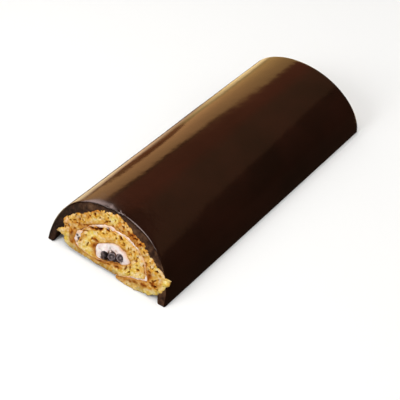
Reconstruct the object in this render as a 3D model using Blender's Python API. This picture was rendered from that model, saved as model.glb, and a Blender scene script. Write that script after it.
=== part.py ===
"""Chocolate-glazed swiss roll with a berry and cream heart, both ends cut.

A sheet of sponge is rolled almost twice round an egg-shaped core of cream. One ribbon of cream
lies between its two turns and runs into the core. A thick glaze covers the roll as a dome and
stands on the same surface as the sponge. Berries sit in the cream of each cut.

Frame: +Z up, the roll lies along Y, the near cut faces -Y. The origin is the middle of the base.
Sections are drawn in X and Z and swept along Y between the two cuts. Written in millimetres, and
turned into metres where the meshes are made.
"""

import math

import bmesh
import bpy
from mathutils import Matrix, Vector

MM = 0.001
GAP = 0.3  # clearance between neighbouring solids

# The two cuts. Each is a plane: y = base + yaw * x + lean * z
NEAR_CUT = {"base": -126.39, "yaw": 0.06, "lean": 0.45}
FAR_CUT = {"base": 126.66, "yaw": 0.055, "lean": -0.01}

# Glaze: the outer skin is a rounded dome, a little fuller on the left
DOME_HALF_WIDTH = 57.0
DOME_HEIGHT = 47.5
DOME_EXPONENT_LEFT = 2.2
DOME_EXPONENT_RIGHT = 2.0
GLAZE_FOOT_INNER = 46.0  # half the distance between the two feet
GLAZE_ARRIS = 1.2  # rounding where the skin meets a cut

# Sponge: outline of the rolled sheet, anticlockwise from the sheet's outer end, which is tucked
# under the roll. It ends a little above and left of where it starts, which leaves the step.
FLAP_START = (12.5, 0.0)
FLAP_FLAT_END = (37.0, 0.0)
OUTLINE_AFTER_FLAP = (
    (46.0, 4.0),
    (51.8, 14.0),  # right shoulder
    (44.6, 23.6),
    (30.0, 33.0),
    (14.0, 40.4),
    (-3.0, 43.8),  # crown
    (-21.0, 39.0),
    (-36.0, 29.0),
    (-47.0, 20.0),
    (-50.0, 12.5),  # left shoulder
    (-45.0, 6.4),
    (-36.0, 3.8),
    (-22.0, 3.1),
    (-6.0, 3.0),
    (9.8, 3.8),
)
SMALLEST_TIP = 1.0  # the sheet's inner end stops where it has thinned to this

# Cream core: an egg shape, blunt to the left and tilted up to the right
CORE_CENTRE = (3.5, 15.0)
CORE_HALF_WIDTH = 16.0
CORE_HALF_HEIGHT = 8.0
CORE_TAPER = 0.22
CORE_TILT = math.radians(10)

# Cream ribbon: how far out it runs between the core (0) and the outline (1), and its thickness
RIBBON_SHARE = 0.47
RIBBON_BULGE = (math.radians(-14), math.radians(22), 0.07)  # angle, spread, extra share
RIBBON_START = math.radians(-56)
RIBBON_LEAVES = math.radians(196)  # from here it turns in towards the core
RIBBON_END = math.radians(262)
RIBBON_THICKNESS = 1.3
RIBBON_SWELLINGS = (  # angle, spread and extra thickness of each place where cream has gathered
    (math.radians(-22), math.radians(16), 1.5),
    (math.radians(88), math.radians(30), 0.9),
    (math.radians(190), math.radians(14), 2.6),
)

# Berries of each cut: place in the section, radius, and how far the middle lies behind the cut
NEAR_BERRIES = (
    (-3.5, 11.0, 3.2, 0.6),
    (3.3, 13.3, 3.1, 1.3),
    (10.4, 15.7, 3.5, 1.0),
)
FAR_BERRIES = (
    (-2.6, 12.4, 3.4, 1.2),
    (5.0, 12.6, 3.2, 0.7),
    (11.8, 16.0, 3.1, 1.4),
)
BERRY_SQUASH = 0.92  # height over width of a berry
CROWN_RADIUS_SHARE = 0.42
CROWN_DEPTH_SHARE = 0.16

OUTLINE_STEPS = 5  # points on each stretch of the sponge's outline
DOME_STEPS = 56
CORE_STEPS = 48
RIBBON_STEPS = 72
BERRY_SIDES = 16
BERRY_RINGS = 9


def clear_scene():
    for thing in list(bpy.data.objects):
        bpy.data.objects.remove(thing)


def make_material(name, colour, roughness):
    material = bpy.data.materials.new(name)
    material.use_nodes = True
    shader = material.node_tree.nodes["Principled BSDF"]
    shader.inputs["Base Color"].default_value = (*colour, 1.0)
    shader.inputs["Roughness"].default_value = roughness
    shader.inputs["Metallic"].default_value = 0.0
    return material


# ---- sections ---------------------------------------------------------------------------------


def smooth_curve(points, steps):
    """Points of a Catmull-Rom curve through the given ones, both ends included."""
    ends = [points[0], *points, points[-1]]
    curve = []
    for before, start, stop, after in zip(ends, ends[1:], ends[2:], ends[3:]):
        for step in range(steps):
            t = step / steps
            curve.append(
                tuple(
                    0.5
                    * (
                        2 * b
                        + (c - a) * t
                        + (2 * a - 5 * b + 4 * c - d) * t**2
                        + (3 * b - a - 3 * c + d) * t**3
                    )
                    for a, b, c, d in zip(before, start, stop, after)
                )
            )
    return curve + [points[-1]]


def dome_outline(shrink=0.0):
    """The glaze's outer skin, anticlockwise from the right foot to the left one."""
    outline = []
    for step in range(DOME_STEPS + 1):
        angle = math.pi * step / DOME_STEPS
        across, up = math.cos(angle), math.sin(angle)
        reach = 2 / (DOME_EXPONENT_RIGHT if across > 0 else DOME_EXPONENT_LEFT)
        x = (DOME_HALF_WIDTH - shrink) * math.copysign(abs(across) ** reach, across)
        z = (DOME_HEIGHT - shrink) * max(up, 0.0) ** reach
        outline.append((x, z if 0 < step < DOME_STEPS else 0.0))
    return outline


def sponge_outline():
    """The sheet's outer side, anticlockwise from its outer end round to the step."""
    around = smooth_curve([FLAP_FLAT_END, *OUTLINE_AFTER_FLAP], OUTLINE_STEPS)
    return [FLAP_START] + [(x, max(z, 0.0)) for x, z in around]


def offset(points, distance):
    """Moves an anticlockwise run of points to its right, which is outwards."""
    moved = []
    for index, (x, z) in enumerate(points):
        before = points[max(index - 1, 0)]
        after = points[min(index + 1, len(points) - 1)]
        along = (after[0] - before[0], after[1] - before[1])
        length = math.hypot(*along)
        moved.append((x + distance * along[1] / length, z - distance * along[0] / length))
    return moved


def polar(points):
    """Angle and distance from the core's centre, with the angle rising along the points."""
    found = []
    for x, z in points:
        dx, dz = x - CORE_CENTRE[0], z - CORE_CENTRE[1]
        angle = math.atan2(dz, dx)
        if found:
            while angle < found[-1][0] - math.pi:
                angle += 2 * math.pi
        found.append((angle, math.hypot(dx, dz)))
    return found


def reach_at(table, angle):
    """Distance from the core's centre at an angle, read from a polar table."""
    while angle < table[0][0]:
        angle += 2 * math.pi
    while angle > table[-1][0] and angle - 2 * math.pi >= table[0][0]:
        angle -= 2 * math.pi
    for (low, near), (high, far) in zip(table, table[1:]):
        if low <= angle <= high:
            return near + (far - near) * (angle - low) / max(high - low, 1e-9)
    return table[-1][1]


def place(angle, reach):
    return (CORE_CENTRE[0] + reach * math.cos(angle), CORE_CENTRE[1] + reach * math.sin(angle))


def core_outline():
    points = []
    for step in range(4 * CORE_STEPS):
        turn = 2 * math.pi * step / (4 * CORE_STEPS)
        x = CORE_HALF_WIDTH * math.cos(turn)
        z = CORE_HALF_HEIGHT * math.sin(turn) * (1 - CORE_TAPER * math.cos(turn))
        points.append(
            (
                CORE_CENTRE[0] + x * math.cos(CORE_TILT) - z * math.sin(CORE_TILT),
                CORE_CENTRE[1] + x * math.sin(CORE_TILT) + z * math.cos(CORE_TILT),
            )
        )
    return points + [points[0]]


OUTLINE_REACH = polar(sponge_outline())
CORE_REACH = polar(core_outline())


def smooth_step(t):
    t = min(max(t, 0.0), 1.0)
    return t * t * (3 - 2 * t)


def ribbon_middle(angle):
    """Distance of the ribbon's middle line from the core's centre."""
    middle, spread, extra = RIBBON_BULGE
    share = RIBBON_SHARE + extra * math.exp(-(((angle - middle) / spread) ** 2))
    share *= 1 - smooth_step((angle - RIBBON_LEAVES) / (RIBBON_END - RIBBON_LEAVES))
    inner = reach_at(CORE_REACH, angle)
    return inner + share * (reach_at(OUTLINE_REACH, angle) - inner)


def ribbon_half(angle):
    """Half the ribbon's thickness, which runs out to nothing where it has joined the core."""
    thickness = RIBBON_THICKNESS + sum(
        extra * math.exp(-(((angle - middle) / spread) ** 2))
        for middle, spread, extra in RIBBON_SWELLINGS
    )
    fade = smooth_step((RIBBON_END - angle) / math.radians(30))
    return thickness / 2 * fade


def ribbon_side(first, last, side, extra=0.0):
    """Points along one side of the ribbon: side is 1 for the outer and -1 for the inner one."""
    points = []
    for step in range(RIBBON_STEPS + 1):
        angle = first + (last - first) * step / RIBBON_STEPS
        reach = ribbon_middle(angle) + side * (ribbon_half(angle) + extra)
        points.append(place(angle, reach))
    return points


def core_side(first, last, extra=0.0):
    points = []
    for step in range(1, CORE_STEPS):
        angle = first + (last - first) * step / CORE_STEPS
        points.append(place(angle, reach_at(CORE_REACH, angle) + extra))
    return points


def joining_angle(extra, thickness):
    """Where the ribbon's inner side has come within this thickness of the core."""
    angle = RIBBON_LEAVES
    while (
        ribbon_middle(angle) - ribbon_half(angle) - extra
        > reach_at(CORE_REACH, angle) + extra + thickness
    ):
        angle += math.radians(0.25)
    return angle


def sponge_section():
    """The rolled sheet: round its outline, in along the ribbon, round the core and out again."""
    clear = GAP / 2
    tip = joining_angle(clear, SMALLEST_TIP)
    full_turn = 2 * math.pi
    return (
        sponge_outline()
        + ribbon_side(RIBBON_START, tip, -1, clear)
        + core_side(tip, RIBBON_END - full_turn, clear)
        + ribbon_side(RIBBON_END, RIBBON_START, 1, clear)
    )


def cream_section():
    """The ribbon and the core it runs into, as one shape."""
    clear = -GAP / 2
    join = joining_angle(0.0, 0.05)
    full_turn = 2 * math.pi
    return (
        ribbon_side(RIBBON_START, RIBBON_END, 1, clear)
        + core_side(RIBBON_END - full_turn, join, clear)
        + ribbon_side(join, RIBBON_START, -1, clear)
    )


def at_foot(inner, outer):
    """Where the stretch between two points passes the inner side of a foot."""
    foot = math.copysign(GLAZE_FOOT_INNER, outer[0])
    share = (foot - inner[0]) / (outer[0] - inner[0])
    return (foot, inner[1] + share * (outer[1] - inner[1]))


def glaze_lining():
    """The glaze's inner side, clockwise in from the left foot and down to the right one."""
    around = offset(sponge_outline()[1:], GAP)
    beyond_feet = [index for index, (x, _) in enumerate(around) if abs(x) > GLAZE_FOOT_INNER]
    first, last = beyond_feet[0], beyond_feet[-1]
    right_corner = at_foot(around[first - 1], around[first])
    left_corner = at_foot(around[last + 1], around[last])
    lining = [(GLAZE_FOOT_INNER, 0.0), right_corner]
    lining += around[first : last + 1]
    lining += [left_corner, (-GLAZE_FOOT_INNER, 0.0)]
    return list(reversed(lining))


# ---- solids -----------------------------------------------------------------------------------


def on_cut(cut, x, z):
    return cut["base"] + cut["yaw"] * x + cut["lean"] * z


def ring_of(bm, section, cut, inset=0.0):
    """Vertices of a section laid on a cut, or set in from it along the roll."""
    return [bm.verts.new(Vector((x, on_cut(cut, x, z) + inset, z)) * MM) for x, z in section]


def finish_object(name, bm, material):
    bmesh.ops.recalc_face_normals(bm, faces=bm.faces)
    mesh = bpy.data.meshes.new(name)
    bm.to_mesh(mesh)
    bm.free()
    mesh.shade_smooth()
    mesh.set_sharp_from_angle(angle=math.radians(35))
    mesh.materials.append(material)
    made = bpy.data.objects.new(name, mesh)
    bpy.context.scene.collection.objects.link(made)
    return made


def sweep(name, sections, material):
    """A closed solid through rings of equal length, each given as (section, cut, inset)."""
    bm = bmesh.new()
    rings = [ring_of(bm, *section) for section in sections]
    for ring, following in zip(rings, rings[1:]):
        for index, vertex in enumerate(ring):
            after = (index + 1) % len(ring)
            bm.faces.new((vertex, ring[after], following[after], following[index]))
    bm.faces.new(rings[0])
    bm.faces.new(list(reversed(rings[-1])))
    return finish_object(name, bm, material)


def make_glaze(material):
    lining = glaze_lining()
    skin = dome_outline() + lining
    edge = dome_outline(GLAZE_ARRIS) + lining
    return sweep(
        "glaze",
        [
            (edge, NEAR_CUT, 0.0),
            (skin, NEAR_CUT, GLAZE_ARRIS),
            (skin, FAR_CUT, -GLAZE_ARRIS),
            (edge, FAR_CUT, 0.0),
        ],
        material,
    )


def make_roll(name, section, material):
    return sweep(name, [(section, NEAR_CUT, 0.0), (section, FAR_CUT, 0.0)], material)


def berry_profile(radius):
    """Half of a berry's section, as (distance from its axis, height), crown dimple to base."""
    crown = CROWN_RADIUS_SHARE * radius
    profile = [(0.0, radius * (BERRY_SQUASH - CROWN_DEPTH_SHARE))]
    first = math.asin(CROWN_RADIUS_SHARE)
    for step in range(BERRY_RINGS):
        angle = first + (math.pi - first) * step / BERRY_RINGS
        profile.append((radius * math.sin(angle), radius * BERRY_SQUASH * math.cos(angle)))
    profile.insert(1, (crown * 0.7, radius * (BERRY_SQUASH - CROWN_DEPTH_SHARE)))
    profile.append((0.0, -radius * BERRY_SQUASH))
    return profile


def berry_mesh(bm, profile, frame):
    """Turns the profile about its axis and sets it in place."""
    top = bm.verts.new(frame @ (Vector((0, 0, profile[0][1])) * MM))
    bottom = bm.verts.new(frame @ (Vector((0, 0, profile[-1][1])) * MM))
    rings = []
    for reach, height in profile[1:-1]:
        ring = []
        for side in range(BERRY_SIDES):
            turn = 2 * math.pi * side / BERRY_SIDES
            spot = Vector((reach * math.cos(turn), reach * math.sin(turn), height))
            ring.append(bm.verts.new(frame @ (spot * MM)))
        rings.append(ring)
    for side in range(BERRY_SIDES):
        after = (side + 1) % BERRY_SIDES
        bm.faces.new((top, rings[0][side], rings[0][after]))
        bm.faces.new((bottom, rings[-1][after], rings[-1][side]))
        for ring, following in zip(rings, rings[1:]):
            bm.faces.new((ring[side], following[side], following[after], ring[after]))


def berry_frame(cut, outwards, x, z, sink):
    """Where a berry sits: its axis leans out of the cut, and its middle is behind it."""
    axis = Vector((-cut["yaw"], 1.0, -cut["lean"])).normalized() * outwards
    middle = Vector((x, on_cut(cut, x, z), z)) - axis * sink
    turned = axis.to_track_quat("Z", "Y").to_matrix().to_4x4()
    return Matrix.Translation(middle * MM) @ turned


def make_berries(end, berries, cut, outwards, material):
    """One berry object for each place, all with the crown turned out of the cut."""
    for number, (x, z, radius, sink) in enumerate(berries, start=1):
        bm = bmesh.new()
        berry_mesh(bm, berry_profile(radius), berry_frame(cut, outwards, x, z, sink))
        finish_object(f"berry_{end}_{number}", bm, material)


def cut_pockets(cream, end, berries, cut, outwards):
    """Hollows the cream round each berry of one end."""
    for number, (x, z, radius, sink) in enumerate(berries, start=1):
        bm = bmesh.new()
        bmesh.ops.create_icosphere(
            bm,
            subdivisions=3,
            radius=(radius + GAP) * MM,
            matrix=berry_frame(cut, outwards, x, z, sink),
        )
        cutter = finish_object(f"pocket_{end}_{number}", bm, cream.data.materials[0])
        cutter.hide_render = True
        cutter.display_type = "WIRE"
        hollow = cream.modifiers.new(cutter.name, "BOOLEAN")
        hollow.operation = "DIFFERENCE"
        hollow.solver = "EXACT"
        hollow.object = cutter


def main():
    clear_scene()
    chocolate = make_material("chocolate glaze", (0.020, 0.007, 0.004), 0.12)
    cake = make_material("sponge cake", (0.72, 0.42, 0.13), 0.85)
    filling = make_material("whipped cream", (0.86, 0.74, 0.66), 0.5)
    fruit = make_material("berry skin", (0.03, 0.025, 0.04), 0.35)

    make_glaze(chocolate)
    make_roll("sponge", sponge_section(), cake)
    cream = make_roll("cream", cream_section(), filling)
    for end, berries, cut, outwards in (
        ("near", NEAR_BERRIES, NEAR_CUT, -1),
        ("far", FAR_BERRIES, FAR_CUT, 1),
    ):
        make_berries(end, berries, cut, outwards, fruit)
        cut_pockets(cream, end, berries, cut, outwards)


main()
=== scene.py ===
import itertools
import math

import bpy
import numpy as np
from mathutils import Matrix, Vector


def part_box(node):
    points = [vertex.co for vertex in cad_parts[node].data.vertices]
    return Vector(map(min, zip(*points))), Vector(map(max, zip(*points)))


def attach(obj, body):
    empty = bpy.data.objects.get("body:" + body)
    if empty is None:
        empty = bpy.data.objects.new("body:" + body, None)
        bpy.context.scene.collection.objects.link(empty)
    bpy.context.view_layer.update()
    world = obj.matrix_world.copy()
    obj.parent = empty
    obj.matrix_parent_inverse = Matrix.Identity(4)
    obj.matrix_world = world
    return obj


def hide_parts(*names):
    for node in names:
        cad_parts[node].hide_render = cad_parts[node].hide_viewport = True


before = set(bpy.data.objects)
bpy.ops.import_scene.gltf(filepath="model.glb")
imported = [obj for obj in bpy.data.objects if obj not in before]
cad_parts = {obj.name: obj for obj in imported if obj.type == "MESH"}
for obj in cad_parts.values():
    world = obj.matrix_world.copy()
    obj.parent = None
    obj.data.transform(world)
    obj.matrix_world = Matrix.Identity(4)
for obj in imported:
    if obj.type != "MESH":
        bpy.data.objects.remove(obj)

# Swiss roll under chocolate glaze, cut at both ends. Sections are drawn in mm: x across the roll,
# z up from the board, and y along the roll, with the near cut facing -y.

mm = 0.001
fullTurn = 2 * math.pi
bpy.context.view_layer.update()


def cadBox(solid):
    # a CAD solid's lowest and highest corner in mm
    return [np.array(corner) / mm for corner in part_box(solid)]


roll = {
    # each cut is a plane: y = base + yaw * x + lean * z
    "near": {"base": -126.39, "yaw": 0.06, "lean": 0.45, "out": -1},
    "far": {"base": 126.66, "yaw": 0.055, "lean": -0.01, "out": 1},
    "length": 253,  # from cut to cut
    "coreCentre": (3.5, 15),  # every section is drawn as angle and reach from here
    "height": float(cadBox("glaze")[1][2]),
}


# Mixing, steps and noise
def mix(a, b, t):
    return a + (b - a) * t


def smoothStep(t):
    t = np.clip(t, 0.0, 1.0)
    return t * t * (3 - 2 * t)


def hump(value, middle, spread):
    return np.exp(-(((value - middle) / spread) ** 2))


latticeSize = 32
lattice = np.random.default_rng(11).random((latticeSize,) * 3) * 2 - 1


def noise(points, size, seed=0.0):
    # smooth lumps about `size` mm across, from -1 to 1
    spot = np.asarray(points, float) / size + seed * 7.31
    cell = np.floor(spot).astype(int)
    part = smoothStep(spot - cell)
    total = 0.0
    for corner in itertools.product((0, 1), repeat=3):
        weight = np.prod(np.where(corner, part, 1 - part), axis=-1)
        at = (cell + np.array(corner)) % latticeSize
        total = total + weight * lattice[at[..., 0], at[..., 1], at[..., 2]]
    return total


def roughNoise(points, size, octaves=3, seed=0.0):
    return sum(0.55**octave * noise(points, size / 2**octave, seed + octave)
               for octave in range(octaves))


def flat(x, z, y=0.0):
    # points on a cut, for the noise functions
    return np.stack([x, np.full_like(x, y), z], axis=-1)


# Places on the two cuts and along the roll
def onCut(end, x, z):
    cut = roll[end]
    return cut["base"] + cut["yaw"] * x + cut["lean"] * z


def behindCut(end, x, z, behind):
    # points that lie this far behind a cut's plane
    return np.stack([x, onCut(end, x, z) - roll[end]["out"] * behind, z], axis=-1)


def depthBehind(end, points):
    x, y, z = np.moveaxis(points, -1, 0)
    return roll[end]["out"] * (onCut(end, x, z) - y)


def alongRoll(x, z, share, nearInset=0.0, farInset=0.0):
    # y at this share of the way from the near cut to the far one
    return mix(onCut("near", x, z) + nearInset, onCut("far", x, z) - farInset, share)


def smoothCurve(points, steps=8):
    # Catmull-Rom curve through the given points
    points = np.array(points, float)
    ends = np.vstack([points[:1], points, points[-1:]])
    t = (np.arange(steps) / steps)[:, None]
    curve = []
    for a, b, c, d in zip(ends, ends[1:], ends[2:], ends[3:]):
        curve.append(0.5 * (2 * b + (c - a) * t + (2 * a - 5 * b + 4 * c - d) * t**2
                            + (3 * b - a - 3 * c + d) * t**3))
    return np.vstack(curve + [points[-1:]])


def asPolar(points):
    # rising angle and reach round the core's centre
    away = points[:, :2] - roll["coreCentre"]
    angle = np.unwrap(np.arctan2(away[:, 1], away[:, 0]))
    return np.maximum.accumulate(angle), np.hypot(away[:, 0], away[:, 1])


def place(angle, reach):
    centre = roll["coreCentre"]
    return centre[0] + reach * np.cos(angle), centre[1] + reach * np.sin(angle)


def evenly(points, count):
    # the same line with evenly spaced points, any further columns carried along
    steps = np.hypot(*np.diff(points[:, :2], axis=0).T)
    along = np.concatenate([[0.0], np.cumsum(steps)])
    wanted = np.linspace(0.0, along[-1], count)
    return np.stack([np.interp(wanted, along, column) for column in points.T], axis=-1)


# The rolled sheet's outer side, anticlockwise from its outer end tucked under the roll.
# The near cut is torn: a rag of crumb hangs over the glaze on either side.
sheetOutline = {
    "near": (
        (12.5, 0.6), (16.4, 0.1), (21, 0), (28.2, 0), (34.5, 0.6), (38.2, 0.9), (39.2, 2.4), (40.6, 0.7),
        (42.7, 1.8), (46.4, 3.9), (50.6, 6.6), (53.9, 10.6), (55.8, 14.2), (57, 17.6), (57.7, 20.6),
        (54, 19.9), (51.4, 20.9), (47.3, 23), (40.9, 25.7), (35.5, 28.9), (30, 32.5), (25.9, 35.8),
        (19, 37.2), (13.6, 40.2), (5.5, 43.7), (-0.9, 44.7), (-6, 43.9), (-11.2, 42.3), (-16.4, 40.8),
        (-21.8, 38), (-27.3, 34.3), (-33.6, 31.1), (-40, 26.6), (-45.6, 23.4), (-46.6, 20.7),
        (-45.5, 18), (-43.8, 15.2), (-46.9, 14.2), (-49.4, 11.8), (-50.6, 9.8), (-48.6, 9.7), (-45, 9.3),
        (-43.2, 8), (-41.8, 6.1), (-38.2, 3.9), (-33.6, 2.8), (-19, 2.7), (-6.4, 2.1), (4.5, 2),
        (9.8, 2.2),
    ),
    "far": (
        (12.5, 0), (24, 0), (37, 0), (46, 4), (51.8, 14), (44.6, 23.6), (30, 33), (14, 40.4), (-3, 43.8),
        (-21, 39), (-36, 29), (-47, 20), (-50, 12.5), (-45, 6.4), (-36, 3.8), (-22, 3.1), (-6, 3),
        (9.8, 3.8),
    ),
}

# Outline of the cream core, anticlockwise from its right corner
coreOutline = {
    "near": (
        (19.2, 15.2), (19.7, 17.2), (17.4, 18.9), (15.6, 20.7), (14.2, 22), (10.6, 22.6), (7.6, 23.6),
        (3.8, 23.5), (0, 22.2), (-4, 20.4), (-8, 18.6), (-10.8, 17), (-11.7, 14), (-11.2, 11),
        (-10, 8.2), (-7.6, 7.4), (-5, 7.7), (-2.5, 8.4), (2, 9), (6.5, 9.9), (10.5, 11.1), (13.5, 11.7),
        (16.6, 13.1), (19.2, 15.2),
    ),
    "far": (
        (19.2, 17.8), (16.6, 21.2), (10, 23.7), (2, 23.6), (-6, 21.2), (-11.6, 17), (-12.4, 12.4),
        (-8.6, 8.3), (-1, 6.9), (7, 8.4), (14.4, 12), (18.6, 15.4), (19.2, 17.8),
    ),
}

# Middle of the cream ribbon between the two turns: x, z and how thick it is, measured away from
# the core. It gathers in the fold on the right, under the crown and in a clot on the left.
ribbonLine = {
    "near": (
        (11.9, 2.7, 0.3), (16.8, 4.4, 0.4), (25.5, 7.6, 1.3), (31.8, 9.6, 2.7), (36.2, 10.9, 3.2),
        (36, 14.4, 0.3), (34.6, 17.4, 0.7), (33, 20.6, 0.4), (30.2, 24.4, 0.3), (26.6, 27.2, 0.6),
        (22.4, 29.3, 1.1), (16.6, 31.5, 1.5), (10, 32.8, 1.5), (2.7, 33.2, 1.4), (-3.6, 33, 1.7),
        (-8.2, 31.8, 1.8), (-13.6, 29.8, 1.7), (-18.2, 27.9, 1.3), (-22.7, 25.2, 0.3),
        (-26.9, 20.8, 0.3), (-29.2, 17.4, 3.4), (-29.8, 12.8, 3.6), (-30.4, 9.6, 2.4), (-27.4, 6.8, 0.3),
        (-19.5, 6, 0.5), (-12.4, 5.9, 0.4), (-5, 6.9, 0.3), (0, 8, 0.2), (2.4, 8.7, 0.1),
    ),
    "far": (
        (11.7, 2.9, 0.5), (18, 3.4, 1), (26.4, 6, 2), (33.8, 10.6, 3.4), (33.4, 15.4, 1.6),
        (31.2, 21, 1.3), (26.2, 26.2, 1.4), (18.2, 30.4, 1.6), (9, 33.2, 1.9), (0, 33.6, 2.2),
        (-8.8, 31.4, 1.9), (-17, 27.4, 1.3), (-24.4, 22.8, 1.6), (-29, 17.4, 2.8), (-29.6, 11.8, 3.6),
        (-25, 8.2, 1.6), (-17.6, 6.4, 0.8), (-9.4, 5.6, 0.4), (-2, 6.2, 0.3), (2.4, 6.9, 0.1),
    ),
}

sheet = {
    "start": math.radians(-58.5),  # the sheet's outer end
    "ribbonStart": math.radians(-56),
    "ribbonEnd": math.radians(261),  # the ribbon has run into the core
    "outsideEnd": math.radians(293),  # from here on the outer turn lies over the inner one
    "tip": 0.8,  # the sheet's inner end stops at this thickness
    "samples": 5000,  # places tried along it, of which the columns are an even choice
    "columns": 940,
    "across": 30,
    "cutStand": 0.35,  # crumb stands this far out of the glaze's cut
    # rings of points between the cuts, as shares of the length, closer where the torn ends fade
    "rings": (0.003, 0.008, 0.016, 0.04, 0.12, 0.3, 0.5, 0.7, 0.88, 0.96, 0.985, 0.994),
    "tearFade": 2.5,  # how soon a cut's tears fade along the roll
}


def endTables(end):
    # crumb and cream meet on an uneven line, so the tables wander a little
    depth = 0.0 if end == "near" else 90.0
    coreLine, line = smoothCurve(coreOutline[end]), smoothCurve(ribbonLine[end])
    angle, reach = asPolar(coreLine)
    wander = noise(flat(*coreLine.T, depth), 2.6, 1)
    wander[-1] = wander[0]
    core = (angle, reach + 0.3 * wander)
    x, z, thick = line.T
    spots = flat(x, z, depth)
    # where the cream is thin the crumb shows through, where it is thick it is uneven
    broken = smoothStep((1.7 - thick) / 1.0)
    thickness = thick * (1 + (0.6 + 0.8 * broken) * noise(spots, 1.8, 2))
    angle, reach = asPolar(line)
    ribbon = (angle, reach + (0.5 + 0.12 * thick) * noise(spots, 2.2, 3),
              np.maximum(thickness, 0.05))
    return {"outline": asPolar(smoothCurve(sheetOutline[end])), "core": core, "ribbon": ribbon}


tables = {end: endTables(end) for end in ("near", "far")}


def outlineReach(end, angle):
    return np.interp(angle, *tables[end]["outline"])


def coreReach(end, angle):
    table = tables[end]["core"]
    first = table[0][0]
    return np.interp((angle - first) % fullTurn + first, *table)


def ribbonReach(end, angle, side):
    # side is 1 for the ribbon's outer face, -1 for the inner one, 0 for its middle
    found, reach, thickness = tables[end]["ribbon"]
    angle = np.clip(angle, sheet["ribbonStart"], sheet["ribbonEnd"])
    return np.interp(angle, found, reach) + side * np.interp(angle, found, thickness) / 2


def innerFace(end, turn):
    # the sheet's inner side: on the ribbon for the outer turn, then on the core
    merge = smoothStep((turn - sheet["ribbonEnd"] + 0.35) / 0.35)
    core = coreReach(end, turn)
    return np.maximum(mix(ribbonReach(end, turn, 1), core, merge), core)


def outerFace(end, turn):
    # the sheet's outer side: the roll's outline, then under the ribbon
    step = tables[end]["outline"][0][-1]
    tucked = sheet["ribbonStart"] + fullTurn
    outline = outlineReach(end, np.minimum(turn, step))
    under = ribbonReach(end, turn - fullTurn, -1)
    return mix(outline, under, smoothStep((turn - step) / (tucked - step)))


def sheetEnd(end):
    # where the inner turn has thinned to its tip
    turn = np.linspace(fullTurn + 3.0, fullTurn + sheet["ribbonEnd"], 900)
    thin = outerFace(end, turn) - coreReach(end, turn) < sheet["tip"]
    return turn[np.argmax(thin)] if thin.any() else turn[-1]


# Faces and meshes
def gridFaces(numbers, flip=False):
    # four-sided faces over a grid of point numbers
    a, b = numbers[:-1, :-1].ravel(), numbers[1:, :-1].ravel()
    c, d = numbers[1:, 1:].ravel(), numbers[:-1, 1:].ravel()
    return np.stack([d, c, b, a] if flip else [a, b, c, d], axis=-1)


def fanFaces(middle, ring, flip=False):
    # triangles from one point to a closed ring
    after = np.roll(ring, -1)
    return np.stack([np.full_like(ring, middle), *((after, ring) if flip else (ring, after))], axis=-1)


def stripEdge(grid):
    # all the way round a grid's edge
    return np.concatenate([grid[:, -1], grid[-1, ::-1][1:-1], grid[::-1, 0], grid[0][1:-1]])


def ringEdge(grid):
    return grid[:, -1]


def closeSolid(caps, edgeOf, rings=None, steps=8):
    # a solid from two matching caps: its points, each cap's point numbers and the walls' faces. The
    # walls follow the rings of points they are given, or else run straight in this many steps
    numbers = np.arange(caps[0][..., 0].size).reshape(caps[0].shape[:2])
    if rings is None:
        rings = [mix(edgeOf(caps[0]), edgeOf(caps[1]), step / steps) for step in range(1, steps)]
    ringNumbers = np.arange(len(rings) * len(rings[0])).reshape(len(rings), -1) + 2 * numbers.size
    loops = np.vstack([edgeOf(numbers), ringNumbers, edgeOf(numbers + numbers.size)])
    loops = np.hstack([loops, loops[:, :1]])
    points = np.vstack([cap.reshape(-1, 3) for cap in caps] + list(rings))
    return points, numbers, numbers + numbers.size, gridFaces(loops, flip=True)


def joinFields(near, far, rest, restSize):
    # each field's values on the caps, and on the points after them
    return {label: np.concatenate([near[label].ravel(), far[label].ravel(),
                                   np.broadcast_to(values, restSize)])
            for label, values in rest.items()}


def addObject(name, data):
    made = bpy.data.objects.new(name, data)
    bpy.context.scene.collection.objects.link(made)
    return made


def buildMesh(name, points, blocks, *materials):
    # points in mm, faces as blocks that each have one number of corners
    mesh = bpy.data.meshes.new(name)
    faces = [face for block in blocks for face in block.tolist()]
    mesh.from_pydata((np.asarray(points) * mm).tolist(), [], faces)
    for material in materials:
        mesh.materials.append(material)
    return mesh


def addPiece(name, solid, mesh, fields, sharp=None):
    for label, values in fields.items():
        layer = mesh.attributes.new(label, "FLOAT", "POINT")
        layer.data.foreach_set("value", np.asarray(values, np.float32))
    mesh.shade_smooth()
    if sharp:
        mesh.set_sharp_from_angle(angle=math.radians(sharp))
    piece = addObject(name, mesh)
    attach(piece, "root")
    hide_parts(solid)
    print(f"{name}: {len(mesh.vertices)} points, {len(mesh.polygons)} faces")


# Materials
def linear(code):
    # sRGB hex to the linear values the shader takes
    values = [int(code[k : k + 2], 16) / 255 for k in (1, 3, 5)]
    values = [v / 12.92 if v <= 0.04045 else ((v + 0.055) / 1.055) ** 2.4 for v in values]
    return (*values, 1.0)


def setInputs(tree, node, inputs):
    # each input takes a value, or links to an output
    for socket, value in inputs.items():
        if isinstance(value, bpy.types.NodeSocket):
            tree.links.new(value, node.inputs[socket])
        else:
            node.inputs[socket].default_value = value


def addNode(tree, kind, output, inputs=None, stops=(), **settings):
    # adds a node and gives back the named output; stops are a ramp's places and colours
    node = tree.nodes.new("ShaderNode" + kind)
    for label, value in settings.items():
        setattr(node, label, value)
    setInputs(tree, node, inputs or {})
    elements = node.color_ramp.elements if stops else ()
    for position, _ in stops[1:-1]:
        elements.new(position)
    for element, (position, code) in zip(elements, stops):
        element.position = position
        element.color = linear(code)
    return node.outputs[output] if output else node


def startMaterial(name):
    material = bpy.data.materials.new(name)
    material.use_nodes = True
    tree = material.node_tree
    return material, tree, tree.nodes["Principled BSDF"], addNode(tree, "TexCoord", "Object")


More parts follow.
